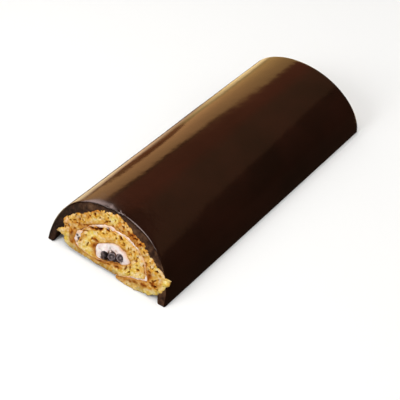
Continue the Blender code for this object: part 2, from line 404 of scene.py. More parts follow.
def perMm(size):
    # texture scale for lumps of this size in mm, on object coordinates in metres
    return 1000.0 / size


# Dark chocolate glaze, poured warm and set: near-black brown under a skin like varnish, hazier
# where it slumped toward the near cut
def chocolateGlaze():
    material, tree, shader, where = startMaterial("dark chocolate glaze")
    cloud = addNode(tree, "TexNoise", "Fac", {"Scale": perMm(38), "Detail": 3, "Vector": where})
    tone = addNode(tree, "ValToRGB", "Color", {"Fac": cloud}, ((0.35, "#1c0e07"), (0.68, "#27120a")))
    haze = addNode(tree, "TexNoise", "Fac", {"Scale": perMm(11), "Detail": 4, "Vector": where})
    gloss = addNode(tree, "MapRange", "Result", {"Value": haze, "To Min": 0.1, "To Max": 0.17})
    dull = addNode(tree, "Attribute", "Fac", attribute_name="dull")
    rough = addNode(tree, "Math", "Value", {0: dull, 1: 0.13, 2: gloss}, operation="MULTIPLY_ADD")
    ripple = addNode(tree, "TexNoise", "Fac", {"Scale": perMm(7), "Detail": 2.5, "Vector": where})
    relief = addNode(tree, "Bump", "Normal", {"Height": ripple, "Strength": 0.25, "Distance": 0.5 * mm})
    setInputs(tree, shader, {"IOR": 1.5, "Base Color": tone, "Roughness": rough, "Normal": relief})
    return material


# The same glaze where the knife went through: dull and porous, with painted sheen paling it under the
# crown and down the right and a painted shade seam under the skin
def cutGlaze():
    material, tree, shader, where = startMaterial("cut chocolate glaze")
    cloud = addNode(tree, "TexNoise", "Fac", {"Scale": perMm(3), "Detail": 4, "Vector": where})
    toneSheenAndShade = addNode(tree, "Attribute", "Fac", attribute_name="toneSheenAndShade")
    # painted sheen and painted shade over the glaze's own uneven tone
    amount = addNode(tree, "Math", "Value", {0: cloud, 1: toneSheenAndShade}, operation="ADD")
    tone = addNode(tree, "ValToRGB", "Color", {"Fac": amount}, (
        (0.34, "#170b05"), (0.55, "#321d11"), (0.75, "#503520"), (1.0, "#705640")))
    grit = addNode(tree, "TexNoise", "Fac", {"Scale": perMm(0.8), "Detail": 3, "Vector": where})
    relief = addNode(tree, "Bump", "Normal", {"Height": grit, "Strength": 0.5, "Distance": 0.4 * mm})
    setInputs(tree, shader, {"IOR": 1.45, "Base Color": tone, "Roughness": 0.6,
                             "Specular IOR Level": 0.3, "Normal": relief})
    return material


# Egg sponge baked as a thin sheet: open crumb from lemon to tan and caramel where it met the tin,
# with painted shade darkening its holes, round them and along its bottom, and painted highlights on its
# walls
def spongeCake():
    material, tree, shader, where = startMaterial("egg sponge")
    lemon, smearAndGlint, baked, pore, shade, paintedShade = [
        addNode(tree, "Attribute", "Fac", attribute_name=label)
        for label in ("lemon", "smearAndGlint", "baked", "pore", "shade", "paintedShade")]
    crumb = addNode(tree, "ValToRGB", "Color", {"Fac": lemon}, (
        (0.0, "#dea552"), (0.45, "#e9ba62"), (1.0, "#f0d576")))
    cloud = addNode(tree, "TexNoise", "Fac", {"Scale": perMm(11), "Detail": 3, "Vector": where})
    tan = addNode(tree, "MapRange", "Result",
                  {"Value": cloud, "From Min": 0.5, "From Max": 0.68, "To Max": 0.45})
    crust = addNode(tree, "ValToRGB", "Color", {"Fac": baked}, (
        (0.0, "#d29c50"), (0.35, "#c78638"), (0.7, "#9a5926"), (1.0, "#5a2a12")))
    share = addNode(tree, "MapRange", "Result", {"Value": baked, "From Min": 0.03, "From Max": 0.4})
    # painted shade: the holes' insides darkened to brown
    poreShadeColour = addNode(tree, "ValToRGB", "Color", {"Fac": baked}, ((0.0, "#8a4a14"), (1.0, "#6e2c10")))
    colour = crumb
    # smearAndGlint: cream smeared on the crumb, and painted glints
    for factor, over in ((tan, linear("#c98842")), (smearAndGlint, linear("#f4cda6")),
                         (share, crust), (pore, poreShadeColour)):
        colour = addNode(tree, "Mix", "Result", {"Factor": factor, "A": colour, "B": over},
                         data_type="RGBA")
    # painted highlight and painted shade: light caught on the crumb's fine walls and lost between them
    # and round the holes pales or deepens its yellow
    colour = addNode(tree, "Gamma", "Color", {"Color": colour, "Gamma": shade})
    # painted shade: darker toward the bottom of each cut and in a few patches
    colour = addNode(tree, "Mix", "Result", {"Factor": paintedShade, "A": colour, "B": linear("#998e74")},
                     data_type="RGBA", blend_type="MULTIPLY")
    cells = addNode(tree, "TexVoronoi", "Distance", {"Scale": perMm(1.1), "Vector": where})
    grain = addNode(tree, "TexNoise", "Fac", {"Scale": perMm(0.6), "Detail": 3, "Vector": where})
    height = addNode(tree, "Math", "Value", {0: cells, 1: grain}, operation="ADD")
    relief = addNode(tree, "Bump", "Normal", {"Height": height, "Strength": 0.6, "Distance": 0.5 * mm})
    setInputs(tree, shader, {"IOR": 1.4, "Base Color": colour, "Roughness": 0.85,
                             "Specular IOR Level": 0.06, "Subsurface Weight": 0.08,
                             "Subsurface Scale": 1.5 * mm, "Subsurface Radius": (1.0, 0.55, 0.25),
                             "Normal": relief})
    return material


# Whipped cream tinted by the berries: satin, faintly lilac, beige where it soaked into crumb and
# as painted shade toward the core's edge, grey to purple-brown where juice ran
def whippedCream():
    material, tree, shader, where = startMaterial("whipped cream")
    cloud = addNode(tree, "TexNoise", "Fac", {"Scale": perMm(4), "Detail": 2, "Vector": where})
    tone = addNode(tree, "ValToRGB", "Color", {"Fac": cloud}, ((0.38, "#f1dcd7"), (0.62, "#fff3ee")))
    soakAndShade, juice = [addNode(tree, "Attribute", "Fac", attribute_name=label)
                    for label in ("soakAndShade", "juice")]
    run = addNode(tree, "ValToRGB", "Color", {"Fac": juice}, (
        (0.0, "#c9b9a8"), (0.5, "#6a5048"), (1.0, "#2e0f04")))
    share = addNode(tree, "MapRange", "Result", {"Value": juice, "From Min": 0.05, "From Max": 0.45})
    colour = tone
    for factor, over in ((soakAndShade, linear("#f0bb85")), (share, run)):
        colour = addNode(tree, "Mix", "Result", {"Factor": factor, "A": colour, "B": over},
                         data_type="RGBA")
    froth = addNode(tree, "TexNoise", "Fac", {"Scale": perMm(1.2), "Detail": 2, "Vector": where})
    relief = addNode(tree, "Bump", "Normal", {"Height": froth, "Strength": 0.15, "Distance": 0.3 * mm})
    setInputs(tree, shader, {"IOR": 1.4, "Base Color": colour, "Roughness": 0.45,
                             "Subsurface Weight": 0.25, "Subsurface Scale": 2 * mm,
                             "Subsurface Radius": (1.0, 0.75, 0.6), "Normal": relief})
    return material


# Ripe berry skin: blue-black, with a patchy waxy bloom and a paler crown
def berrySkin():
    material, tree, shader, where = startMaterial("berry skin")
    cloud = addNode(tree, "TexNoise", "Fac", {"Scale": perMm(1.7), "Detail": 3, "Vector": where})
    waxy, crown = [addNode(tree, "Attribute", "Fac", attribute_name=label)
                   for label in ("bloom", "crown")]
    amount = addNode(tree, "MapRange", "Result",
                     {"Value": cloud, "From Min": 0.5, "From Max": 0.66, "To Max": waxy})
    bloom = addNode(tree, "ValToRGB", "Color", {"Fac": amount}, ((0.0, "#130d0f"), (1.0, "#685856")))
    rimmed = addNode(tree, "Mix", "Result", {"Factor": crown, "A": bloom, "B": linear("#a8979a")},
                     data_type="RGBA")
    wrinkle = addNode(tree, "TexNoise", "Fac", {"Scale": perMm(0.9), "Detail": 3, "Vector": where})
    relief = addNode(tree, "Bump", "Normal",
                     {"Height": wrinkle, "Strength": 0.25, "Distance": 0.2 * mm})
    setInputs(tree, shader, {"IOR": 1.45, "Base Color": rimmed, "Roughness": 0.36,
                             "Specular IOR Level": 0.35, "Normal": relief})
    return material


glazeFinishes = chocolateGlaze(), cutGlaze()
spongeFinish, creamFinish, berryFinish = spongeCake(), whippedCream(), berrySkin()
print("materials ready")

# The glaze is a thick skin from board to board, open below
glaze = {
    "rightWidth": (58.3, 57.0),  # half width to the right, at the near and the far cut
    "leftWidth": (56.8, 56.8),
    "rightPower": (2.05, 1.93),  # how square the dome is on each side
    "leftPower": (2.3, 2.1),
    "samples": 1600,  # places tried along a section, of which the columns are an even choice
    "columns": 330,
    "rows": 92,
    "arrisRings": 11,
    "softArris": (5.8, 1.0),  # how far back and down the near edge rounds where it slumped
    "crispArris": 1.2,
    "bandRings": 14,  # across the cut thickness
    "waviness": 0.16,
    "footInner": (51.5, 51.0),  # where the foot's inner side stands, right and left
    "footFlare": (0.8, 1.4),  # how far its lowest edge opens, and from what height
    "footWander": 0.9,  # the foot thins unevenly where the glaze ran and set
    "lap": 0.7,  # the crumb's torn edge laps this far over the glaze
    "leastThickness": 1.1,
}


def domePowers(t, x):
    right, left = mix(*glaze["rightPower"], t), mix(*glaze["leftPower"], t)
    widthRight, widthLeft = mix(*glaze["rightWidth"], t), mix(*glaze["leftWidth"], t)
    return np.where(x > 0, right, left), np.where(x > 0, widthRight, widthLeft)


def domeSection(t):
    # the skin from the right foot over to the left one, t along the roll
    angle = np.linspace(0.0, math.pi, glaze["samples"])
    across, up = np.cos(angle), np.sin(angle)
    power, width = domePowers(t, across)
    x = width * np.sign(across) * np.abs(across) ** (2 / power)
    z = roll["height"] * np.abs(up) ** (2 / power)
    z[0] = z[-1] = 0.0
    return evenly(np.stack([x, z], axis=-1), glaze["columns"])


def domeReach(x, z, t, margin=0.0):
    # 1 on the skin, or on a dome this far inside it, and how square the dome is there
    power, width = domePowers(t, x)
    full = (np.abs(x) / (width - margin)) ** power
    return full + (np.maximum(z, 0) / (roll["height"] - margin)) ** power, power


def insideDome(x, z, t, margin):
    # pulls points back until they lie this far under the skin
    full, power = domeReach(x, z, t, margin)
    pull = np.where(full > 1, full ** (-1 / power), 1.0)
    return x * pull, z * pull


def liningSection(t):
    # the glaze's inner side, just under the sponge's outer face, with an upright inside each foot
    turn = np.linspace(math.radians(-24), math.radians(204), 1200)
    reach = mix(outlineReach("near", turn), outlineReach("far", turn), smoothStep(t * 20))
    x, z = insideDome(*place(turn, reach - glaze["lap"]), t, glaze["leastThickness"])
    right, left = [inner + glaze["footWander"] * float(noise((side, t * roll["length"], 0), 9.0, seed))
                   for inner, side, seed in zip(glaze["footInner"], (61, -61), (1, 2))]
    keep = (x > right - 1.5) | (x < 1.5 - left) | (z > 12)
    flare, rise = glaze["footFlare"]
    line = np.vstack([[(right + flare, 0), (right, rise)], np.stack([x, z], axis=-1)[keep],
                      [(-left, rise), (-left - flare, 0)]])
    return evenly(line, glaze["columns"])


def sectionNormal(section):
    along = np.gradient(section, axis=0)
    along = along / np.linalg.norm(along, axis=1, keepdims=True)
    return np.stack([along[:, 1], -along[:, 0]], axis=-1)


def nearArris(x, z):
    # how far back and down the near edge rounds: soft and torn where it slumped over the crown
    soft = hump(x, -17, np.where(x > -17, 17, 12)) * (1 - smoothStep((x + 2) / 3))
    crisp = glaze["crispArris"] + 0.6 * hump(x, 16, 9)
    uneven = 1 + 0.22 * noise(flat(x, z), 5.0, 3)
    torn = hump(x, 4, 11) * roughNoise(flat(x, z), 2.6, 2, 6)
    softRun, softDrop = glaze["softArris"]
    run = mix(crisp, softRun, soft) * uneven * (1 + 0.5 * torn)
    drop = mix(0.9 * crisp, softDrop, soft) * uneven * (1 + 0.8 * torn)
    return run, np.maximum(drop, 0.3) + 0.7 * np.maximum(torn, 0)


def arrisRings(end):
    # rings of the skin from the cut up over its rounded edge
    section = domeSection(0.0 if end == "near" else 1.0)
    if end == "near":
        run, drop = nearArris(*section.T)
    else:
        run = drop = glaze["crispArris"] + 0.7 + 0.3 * noise(flat(*section.T), 9.0, 5)
    rings = []
    for angle in np.linspace(0, math.pi / 2, glaze["arrisRings"]):
        ring = section - sectionNormal(section) * (drop * (1 - math.sin(angle)))[:, None]
        ring[:, 1] = np.maximum(ring[:, 1], 0.0)
        rings.append(behindCut(end, *ring.T, run * (1 - math.cos(angle))))
    return rings


def makeSkin():
    near, far = arrisRings("near"), arrisRings("far")
    insets = depthBehind("near", near[-1]), depthBehind("far", far[-1])
    rows = []
    for share in np.linspace(0, 1, glaze["rows"] + 2)[1:-1]:
        x, z = domeSection(share).T
        rows.append(np.stack([x, alongRoll(x, z, share, *insets), z], axis=-1))
    skin = np.array(near + rows + far[::-1])
    # slow waves where the glaze ran and set, none at the feet or right at the near cut
    normal = np.array([sectionNormal(ring[:, [0, 2]]) for ring in skin])
    stretched = skin * np.array([1.0, 0.45, 1.0])
    wave = noise(stretched, 26.0, 1) + 0.45 * noise(stretched, 11.0, 2)
    calm = smoothStep(skin[..., 2] / 6) * smoothStep((skin[..., 1] - skin[0, :, 1]) / 12)
    skin[..., [0, 2]] += normal * (glaze["waviness"] * wave * calm)[..., None]
    skin[..., 2] = np.clip(skin[..., 2], 0.0, roll["height"])
    return skin


def makeLining(skin):
    # the lining follows the skin's rows
    margin = glaze["arrisRings"] // 2
    rows = []
    for number, ring in enumerate(skin):
        t = float(np.clip((number - margin) / (len(skin) - 1 - 2 * margin), 0, 1))
        x, z = liningSection(t).T
        first, last = [onCut(end, ring[:, 0], ring[:, 2]) for end in ("near", "far")]
        share = np.clip((ring[:, 1] - first) / (last - first), 0.0, 1.0)
        rows.append(np.stack([x, alongRoll(x, z, share), z], axis=-1))
    return np.array(rows)


def cutBand(end, skinRing, liningRing, shares):
    # the cut between skin and lining, uneven and pitted
    rings = []
    seed = 1.0 if end == "near" else 2.0
    for share in shares:
        ring = mix(skinRing, liningRing, share)
        x, z = ring[:, 0], ring[:, 2]
        spots = flat(x, z, seed * 40)
        relief = 0.28 * roughNoise(spots, 2.6, 3, seed) + 0.25 * noise(spots, 9.0, seed + 4)
        relief = relief + 1.1 * np.clip(noise(spots, 1.5, seed + 8) - 0.45, 0, 1)
        settle = smoothStep(share * 5)
        behind = (0.15 + np.clip(relief, -0.3, 1.4)) * settle
        behind = behind + mix(depthBehind(end, ring), 0.0, settle)
        rings.append(behindCut(end, x, z, behind))
    return np.array(rings)


def makeGlaze():
    skin = makeSkin()
    lining = makeLining(skin)
    shares = np.linspace(0, 1, glaze["bandRings"] + 1)[1:-1]
    blocks = [skin, lining, cutBand("near", skin[0], lining[0], shares),
              cutBand("far", skin[-1], lining[-1], shares)]
    total, numbers = 0, []
    for block in blocks:
        numbers.append(np.arange(block[..., 0].size).reshape(block.shape[:2]) + total)
        total += numbers[-1].size
    onSkin, onLining, onNear, onFar = numbers
    faces = [gridFaces(onSkin), gridFaces(onLining, flip=True),
             gridFaces(np.vstack([onSkin[:1], onNear, onLining[:1]]), flip=True),
             gridFaces(np.vstack([onSkin[-1:], onFar, onLining[-1:]]))]
    # each foot is a flat strip from the skin to the lining
    for column, flip in ((0, True), (-1, False)):
        strip = [onSkin[:, column]]
        for share in shares[1::3]:
            blocks.append(mix(skin[:, column], lining[:, column], share))
            strip.append(np.arange(len(skin)) + total)
            total += len(skin)
        faces.append(gridFaces(np.array(strip + [onLining[:, column]]), flip))
    return np.vstack([block.reshape(-1, 3) for block in blocks]), faces


def toneSheenAndShadeField(points):
    # painted sheen: paler under the crown and down the right; nearly black low on the left
    x, z = points[:, 0], points[:, 2]
    field = 0.03 + 0.12 * smoothStep((x + 6) / 16) + 0.13 * hump(x, -24, 9) * smoothStep((z - 36) / 6)
    field = field - 0.14 * smoothStep((-24 - x) / 12) * smoothStep((38 - z) / 8)
    field = field - 0.08 * smoothStep((x - 50) / 5)
    # painted shade: a dark seam just under the skin where the glaze slumped
    toSkin = domeReach(x, z, 0.0)[0]
    field = field - 0.4 * smoothStep((toSkin - 0.89) / 0.03) * hump(x, -8, 16)
    return field + 0.1 * noise(points, 6.0, 4)


def dullField(points):
    # hazier behind the soft part of the near edge
    x = points[:, 0]
    slumped = smoothStep((x + 40) / 12) * smoothStep((8 - x) / 12)
    return slumped * np.exp(-np.maximum(depthBehind("near", points) - 3, 0) / 7)


glazePoints, glazeFaces = makeGlaze()
glazeMesh = buildMesh("chocolate_glaze", glazePoints, glazeFaces, *glazeFinishes)
isCut = np.ones(len(glazeMesh.polygons), np.int32)
isCut[: len(glazeFaces[0])] = 0
glazeMesh.polygons.foreach_set("material_index", isCut)
addPiece("chocolate_glaze", "glaze", glazeMesh,
         {"toneSheenAndShade": toneSheenAndShadeField(glazePoints), "dull": dullField(glazePoints)}, sharp=70)

# Coloured places on each cut, and places darkened by painted shade: x, z, half width, half height, tilt
# in degrees and strength
tints = {
    ("near", "baked"): (
        (-13.4, 14, 1.9, 5, 0, 0.6), (-14.2, 19.2, 3.2, 1.3, 0, 0.7), (-28.5, 24.4, 6, 1.3, 16, 0.6),
        (-24, 21.8, 3.2, 0.9, 20, 0.5), (-36, 15.5, 1.9, 5.6, 0, 0.62), (-35, 8.8, 2.8, 2.2, 0, 0.45),
        (-25.4, 16, 2, 3.6, 0, 0.4), (16.5, 36, 7.5, 2, -16, 0.5), (22, 33.8, 5.5, 1.6, -20, 0.3),
        (30, 32.2, 6, 0.7, -25, 0.4), (39.2, 17, 2.2, 3, 20, 0.6), (42.6, 11.2, 2.6, 1.8, 0, 0.5),
        (46.4, 11, 2.3, 1.3, 10, 0.55), (45, 14.8, 3.4, 1.1, 40, 0.3), (44, 21.4, 2.2, 0.9, 0, 0.4),
        (30, 6, 9, 1.1, 11, 0.5), (10.5, 8.9, 3.8, 1.2, 8, 0.55), (2.6, 7.2, 3.2, 0.8, 12, 0.55),
        (-5, 6.2, 6, 0.7, 5, 0.5), (21, 16.2, 1.3, 4, 10, 0.35), (13, 24, 3.4, 1.1, -10, 0.4),
        (-31, 29, 5, 1.6, 25, 0.3), (-17, 39.6, 8, 1.1, 22, 0.35), (-15.4, 26.8, 5.5, 1.3, 20, 0.45),
        (-5.4, 30.4, 2.6, 1, 5, 0.4), (-27.6, 20.2, 2.2, 1.6, 50, 0.5), (8.2, 30, 2, 1, 0, 0.5),
        (36, 7, 5, 2, 15, 0.4), (-40, 29, 6, 0.7, 32, 0.35), (-49.5, 11.2, 3.2, 2.8, 0, -1),
    ),
    ("near", "lemon"): (
        (-20, 12, 5.5, 8.5, 0, 0.8), (-40, 9.5, 5.5, 4, 0, 0.7), (-19, 22, 6, 3, 15, 0.35),
        (52, 13, 3, 7, -25, 0.9), (45.5, 5.5, 7, 2.6, 30, 0.65), (15, 7, 7, 2, 8, 0.5),
        (23, 10.8, 6, 2, 10, 0.5), (20, 23.5, 3, 2.2, 0, 0.5), (27, 18, 4, 5, 0, 0.35),
        (0, 28, 5, 2.4, 0, 0.4), (31, 12, 3, 2, 0, 0.5), (40, 24.4, 6, 2.6, -25, 0.5),
        (-4, 40.5, 10, 3.4, 0, 0.75), (-4, 26.5, 8, 2, 10, 0.35), (33, 26.5, 6, 3, -35, 0.6),
        (0, 4, 12, 1.6, 0, 0.3), (-27, 5, 13, 3, 2, 0.5), (-49.5, 10.5, 2.6, 2.6, 0, 0.8),
        (-19, 33, 9, 3.4, 25, 0.4), (26, 2, 13, 1.8, 4, 0.35), (6, 32, 7, 3, -5, 0.5),
    ),
    # painted shade, mostly along the bottom of the cut
    ("near", "paintedShade"): (
        (-28, 4.2, 13, 2.4, 0, 0.85), (2, 3.4, 15, 2.2, 3, 0.7), (28, 2.4, 14, 3, 0, 0.25),
        (47, 7, 6, 3, 30, 0.3), (-49.8, 11.4, 3.2, 3, 0, 0.8), (29, 5.6, 9, 0.7, 10, 0.4),
        (-30, 32, 9, 3.4, 35, 0.2), (45, 17, 5, 4, 0, 0.25), (-38, 12, 5, 5, 0, 0.25),
        (36, 5, 6, 2, 15, 0.3), (-36, 22, 5, 3, 20, 0.2),
    ),
    ("near", "smearAndGlint"): (
        (-43.4, 21.2, 2.4, 1.6, 30, 0.5), (-22, 24, 3.2, 0.7, 20, 0.4), (-49.4, 11.4, 3, 2.4, 50, 1.2),
        (30.5, 24.6, 3, 1.4, -50, 0.5), (26, 26.8, 4, 1.2, -40, 0.5), (34.2, 19, 0.9, 3, 15, 0.7),
        (36, 15.2, 1.3, 2, 0, 0.7), (29.8, 23.6, 2.2, 0.8, -45, 0.5), (-30, 6.4, 2.4, 0.8, 0, 0.3),
        (-10.4, 20, 2.4, 0.7, 20, 0.45), (5, 8.8, 1.3, 0.6, 0, 0.5), (51, 22, 1.8, 0.6, -25, 0.6),
        (24, 2.2, 9, 1.4, 3, 0.35), (49.5, 15.5, 1, 3, -20, 0.35), (46, 23.6, 3, 0.7, -25, 0.45),
    ),
    ("far", "baked"): (
        (-15.5, 14, 2.4, 5, 0, 0.5), (-34, 13, 3, 5, 0, 0.5), (24, 33, 9, 2.2, -25, 0.5),
        (37.5, 14, 3.6, 4.5, 0, 0.5), (28, 4.2, 9, 1, 8, 0.6), (-22, 35, 9, 2, 25, 0.35),
        (2, 4.8, 12, 1, 0, 0.45), (22, 17, 1.4, 4, 8, 0.4),
    ),
    ("far", "lemon"): (
        (-20, 13, 6, 7, 0, 0.7), (-38, 9, 6, 3.5, 0, 0.6), (46, 10, 4, 6, 0, 0.7), (16, 8, 8, 2, 5, 0.6),
        (26, 20, 4, 5, 0, 0.5), (-6, 39, 10, 2.6, 0, 0.4),
    ),
    # painted shade along the bottom of the cut
    ("far", "paintedShade"): (
        (-26, 4.6, 12, 2.2, 0, 0.8), (2, 3.6, 14, 1.8, 0, 0.8), (30, 2, 14, 2.4, 0, 0.5),
    ),
    ("far", "smearAndGlint"): (
        (-26, 24, 3.4, 0.8, 20, 0.4), (28, 26, 3.8, 1, -40, 0.5), (24, 1.8, 8, 1.2, 0, 0.3),
        (-42, 19, 2.2, 1.4, 30, 0.4),
    ),
}

# Larger holes on each cut: x, z, half width, half height, depth and tilt
bigPores = {
    "near": (
        (-19.4, 25.7, 2.2, 0.9, 1.3, 8), (-15.6, 26.7, 2.4, 1.2, 1.5, 20),
        (-12.2, 28.1, 2.3, 1.3, 1.5, 30), (-5.2, 30.5, 2.4, 1, 1.3, 5), (-8.8, 26.4, 1, 0.8, 1, 0),
        (-14, 24.6, 0.8, 0.6, 0.9, 0), (-5.6, 27.9, 0.8, 0.5, 0.9, 10), (8.2, 30, 1.7, 0.8, 1.4, 0),
        (10.6, 26.4, 1.7, 0.6, 1.1, 10), (16.3, 26.4, 0.5, 1.6, 0.9, 0), (6.8, 38.8, 1.6, 1.2, 1.5, -15),
        (-19.8, 36.2, 1.5, 0.9, 1.4, -25), (-31.8, 27.4, 1.1, 0.9, 1.2, 0),
        (-28.8, 27.8, 0.8, 0.7, 1, 0), (-36.4, 24.6, 1.6, 0.6, 1, 10), (-24.2, 21.6, 2, 0.6, 1.1, 22),
        (-43, 18.6, 1.1, 0.7, 1.1, 20), (-40.8, 18.2, 0.8, 0.7, 1, 0), (-46, 15.6, 1.4, 0.9, 1.6, 0),
        (-12.8, 19.2, 1.3, 0.8, 1.4, 0), (-17, 18.8, 0.7, 0.6, 0.9, 0), (-1.6, 39.9, 1, 0.7, 1, 0),
        (-8, 39, 0.8, 0.5, 0.8, 0), (28.4, 15.1, 1.3, 0.8, 1.4, 0), (24.8, 20.1, 1.1, 0.8, 1.1, 30),
        (32.2, 20.4, 0.9, 1.1, 1.1, 0), (33.6, 23.2, 0.8, 0.9, 1, 0), (29.5, 30, 1, 0.7, 1, -20),
        (24.6, 33.6, 1.1, 0.8, 1.1, 0), (44.2, 21.2, 1.5, 0.7, 1.3, 0), (47.6, 19.8, 0.8, 0.6, 1, 0),
        (41.6, 11.4, 1.1, 0.9, 1.3, 0), (46.4, 10.9, 1.3, 0.7, 1.3, 10), (38.2, 18.6, 0.9, 0.6, 1, 0),
        (45, 14.8, 1.5, 0.6, 1.1, 40), (35.4, 16, 0.9, 0.5, 1, 0), (12, 37.6, 1, 0.7, 1, -10),
        (16, 36.6, 1, 0.7, 1.1, -10), (10, 40, 0.8, 0.6, 1, 0), (14.4, 35.3, 0.8, 0.6, 1, 0),
        (19.6, 35.6, 1.3, 0.8, 1.2, -20), (48.6, 9.2, 0.8, 0.5, 0.8, 0), (2.2, 7, 1.2, 0.6, 1.2, 8),
        (11, 8.8, 1.4, 0.7, 1.2, 0), (-40.2, 22.6, 1, 0.6, 1.1, 10), (-33.6, 23.6, 1.2, 0.6, 1.1, 15),
        (-24.8, 25.9, 1.3, 0.6, 1.1, 20), (-38, 22, 0.8, 0.6, 1, 0), (25.4, 23.4, 0.7, 0.6, 0.9, 0),
        (21.4, 26.4, 0.8, 0.5, 0.9, 0), (36.8, 25, 0.9, 0.6, 1, -20), (40.2, 22, 0.7, 0.6, 0.9, 0),
        (-26.8, 12.4, 0.7, 1.1, 1.1, 0), (-24, 34, 0.9, 0.6, 0.9, 20), (-11, 36.4, 0.7, 0.5, 0.8, 0),
        (1.8, 36.6, 0.7, 0.5, 0.8, 0),
    ),
    "far": (
        (-12, 28, 2.2, 0.9, 1.5, 20), (5, 30.2, 1.8, 0.8, 1.3, 0), (20, 27.4, 1.6, 0.9, 1.2, -25),
        (-34, 23.5, 1.7, 0.9, 1.2, 20), (33, 27.4, 1.5, 0.9, 1.1, -30), (12, 37, 1.8, 0.9, 1.2, -10),
        (-22, 18.6, 0.9, 0.7, 1.1, 0), (28, 16, 1.2, 0.8, 1.3, 0), (40.4, 12, 1.2, 0.9, 1.3, 0),
        (-40, 15, 1, 0.8, 1.1, 0), (-4, 38.6, 1.1, 0.7, 1, 0), (-18, 34.4, 1.2, 0.7, 1, 20),
        (2, 5.6, 1.2, 0.6, 1.1, 0), (44.4, 18, 1.1, 0.7, 1.1, 0),
    ),
}

crumb = {
    "pores": 190,
    "poreRadius": (0.5, 1.15),
    "poreDepth": (0.4, 1.2),
    "lumps": 0.42,  # height of the crumb's own relief
    "grit": 0.22,  # and of its finest grain
    "contrast": 0.6,  # how far painted highlight and shade pale or deepen its fine walls
    "ragged": 0.95,  # how far the torn edge wanders
}


def scatterPores(end, seed):
    # the named holes, then many small ones, fewer inside the ribbon and in the smooth bottom
    draw = np.random.default_rng(seed)
    found = [[*pore[:5], math.radians(pore[5])] for pore in bigPores[end]]
    centreX, centreZ = roll["coreCentre"]
    while len(found) < crumb["pores"]:
        x, z = draw.uniform(-50, 54), draw.uniform(1, 45)
        away = math.atan2(z - centreZ, x - centreX)
        ribbon = ribbonReach(end, (away + math.pi / 2) % fullTurn - math.pi / 2, 0)
        wanted = mix(0.3, 0.9, float(smoothStep((x + 4) / 22)))
        if math.hypot(x - centreX, z - centreZ) > ribbon:
            wanted = 0.95
        if z < 8 or (x < -38 and z < 16):
            wanted = 0.1
        if draw.random() > wanted:
            continue
        radius = mix(*crumb["poreRadius"], draw.random() ** 1.6)
        stretch = draw.uniform(1.0, 2.4)
        depth = mix(*crumb["poreDepth"], draw.random())
        found.append([x, z, radius * stretch, radius / math.sqrt(stretch), depth,
                      away + math.pi / 2 + draw.normal(0, 0.35)])
    return found


def ownAxes(dx, dz, turn):
    # how far along and across a turned place each point lies
    return dx * math.cos(turn) + dz * math.sin(turn), dz * math.cos(turn) - dx * math.sin(turn)


def poreField(x, z, pores):
    # depth of the holes at each point, and the painted shade inside them and round them that deepens the
    # yellow
    depth, dark, shadeRoundPores = np.zeros_like(x), np.zeros_like(x), np.zeros_like(x)
    widest = 3.4
    for px, pz, wide, high, deep, turn in pores:
        near = (np.abs(x - px) < widest) & (np.abs(z - pz) < widest)
        along, across = ownAxes(x[near] - px, z[near] - pz, turn)
        away = np.hypot(along / wide, across / high)
        away = away * (1 + 0.45 * noise(flat(x[near], z[near], 70.0), 1.0, 5))
        strength = min(1.0, 0.15 + 0.65 * deep)
        depth[near] = np.maximum(depth[near], deep * np.sqrt(np.clip(1 - away**2, 0, 1)))
        dark[near] = np.maximum(dark[near], strength * smoothStep((1.1 - away) / 0.5))
        shadeRoundPores[near] = np.maximum(shadeRoundPores[near], strength * smoothStep((1.7 - away) / 1.1))
    return depth, dark, shadeRoundPores


def tintField(end, kind, x, z, grainSize, patchy=0.75):
    field = np.zeros_like(x)
    for px, pz, wide, high, tilt, strength in tints[end, kind]:
        along, across = ownAxes(x - px, z - pz, math.radians(tilt))
        field = field + strength * np.exp(-((along / wide) ** 2) - (across / high) ** 2)
    return field * np.clip(0.8 + patchy * noise(flat(x, z, 10.0), grainSize, 7), 0.1, 1.5)


def bakedField(end, x, z, fromInner, fromOuter, turn):
    # caramel at both faces of the sheet and in patches, tan through its denser inner side
    uneven = np.clip(0.5 + 0.8 * noise(flat(x, z, 10.0), 8.0, 6), 0.05, 1.2)
    alongInner = np.where(turn > sheet["ribbonEnd"], 0.6, 0.4)
    field = alongInner * np.exp(-fromInner / 0.7) + 0.4 * np.exp(-fromOuter / 0.8)
    denser = np.where(turn < sheet["ribbonEnd"], 0.26, 0.15)
    field = field * uneven + denser * hump(fromInner, 0.8, 3.2)
    return np.clip(field + tintField(end, "baked", x, z, 2.2), 0, 1)


def sheetGrid(end, turns, across, raggedness):
    # the sheet at one cut over (turn, across): x, z and how far in it is from both faces
    inner, outer = innerFace(end, turns), outerFace(end, turns)
    x, z = place(turns, outer)
    spots = flat(x, z, 3.0 if end == "near" else 60.0)
    rag = roughNoise(spots, 2.6, 3, 2) + 0.8 * np.maximum(noise(spots, 1.5, 8), 0)
    onOutside = 1 - smoothStep((turns - sheet["outsideEnd"]) / math.radians(8))
    outer = outer + raggedness * rag * onOutside * mix(0.25, 1.0, smoothStep((z - 1.5) / 4))
    reach = mix(inner[:, None], outer[:, None], across)
    x, z = place(turns[:, None], reach)
    return x, np.maximum(z, 0.0), reach - inner[:, None], outer[:, None] - reach


def evenTurns(end):
    # angles that lie evenly along the rolled sheet's middle
    turn = np.linspace(sheet["start"], sheetEnd(end), sheet["samples"])
    x, z = place(turn, (innerFace(end, turn) + outerFace(end, turn)) / 2)
    return evenly(np.stack([x, z, turn], axis=-1), sheet["columns"] + 1)[:, 2]


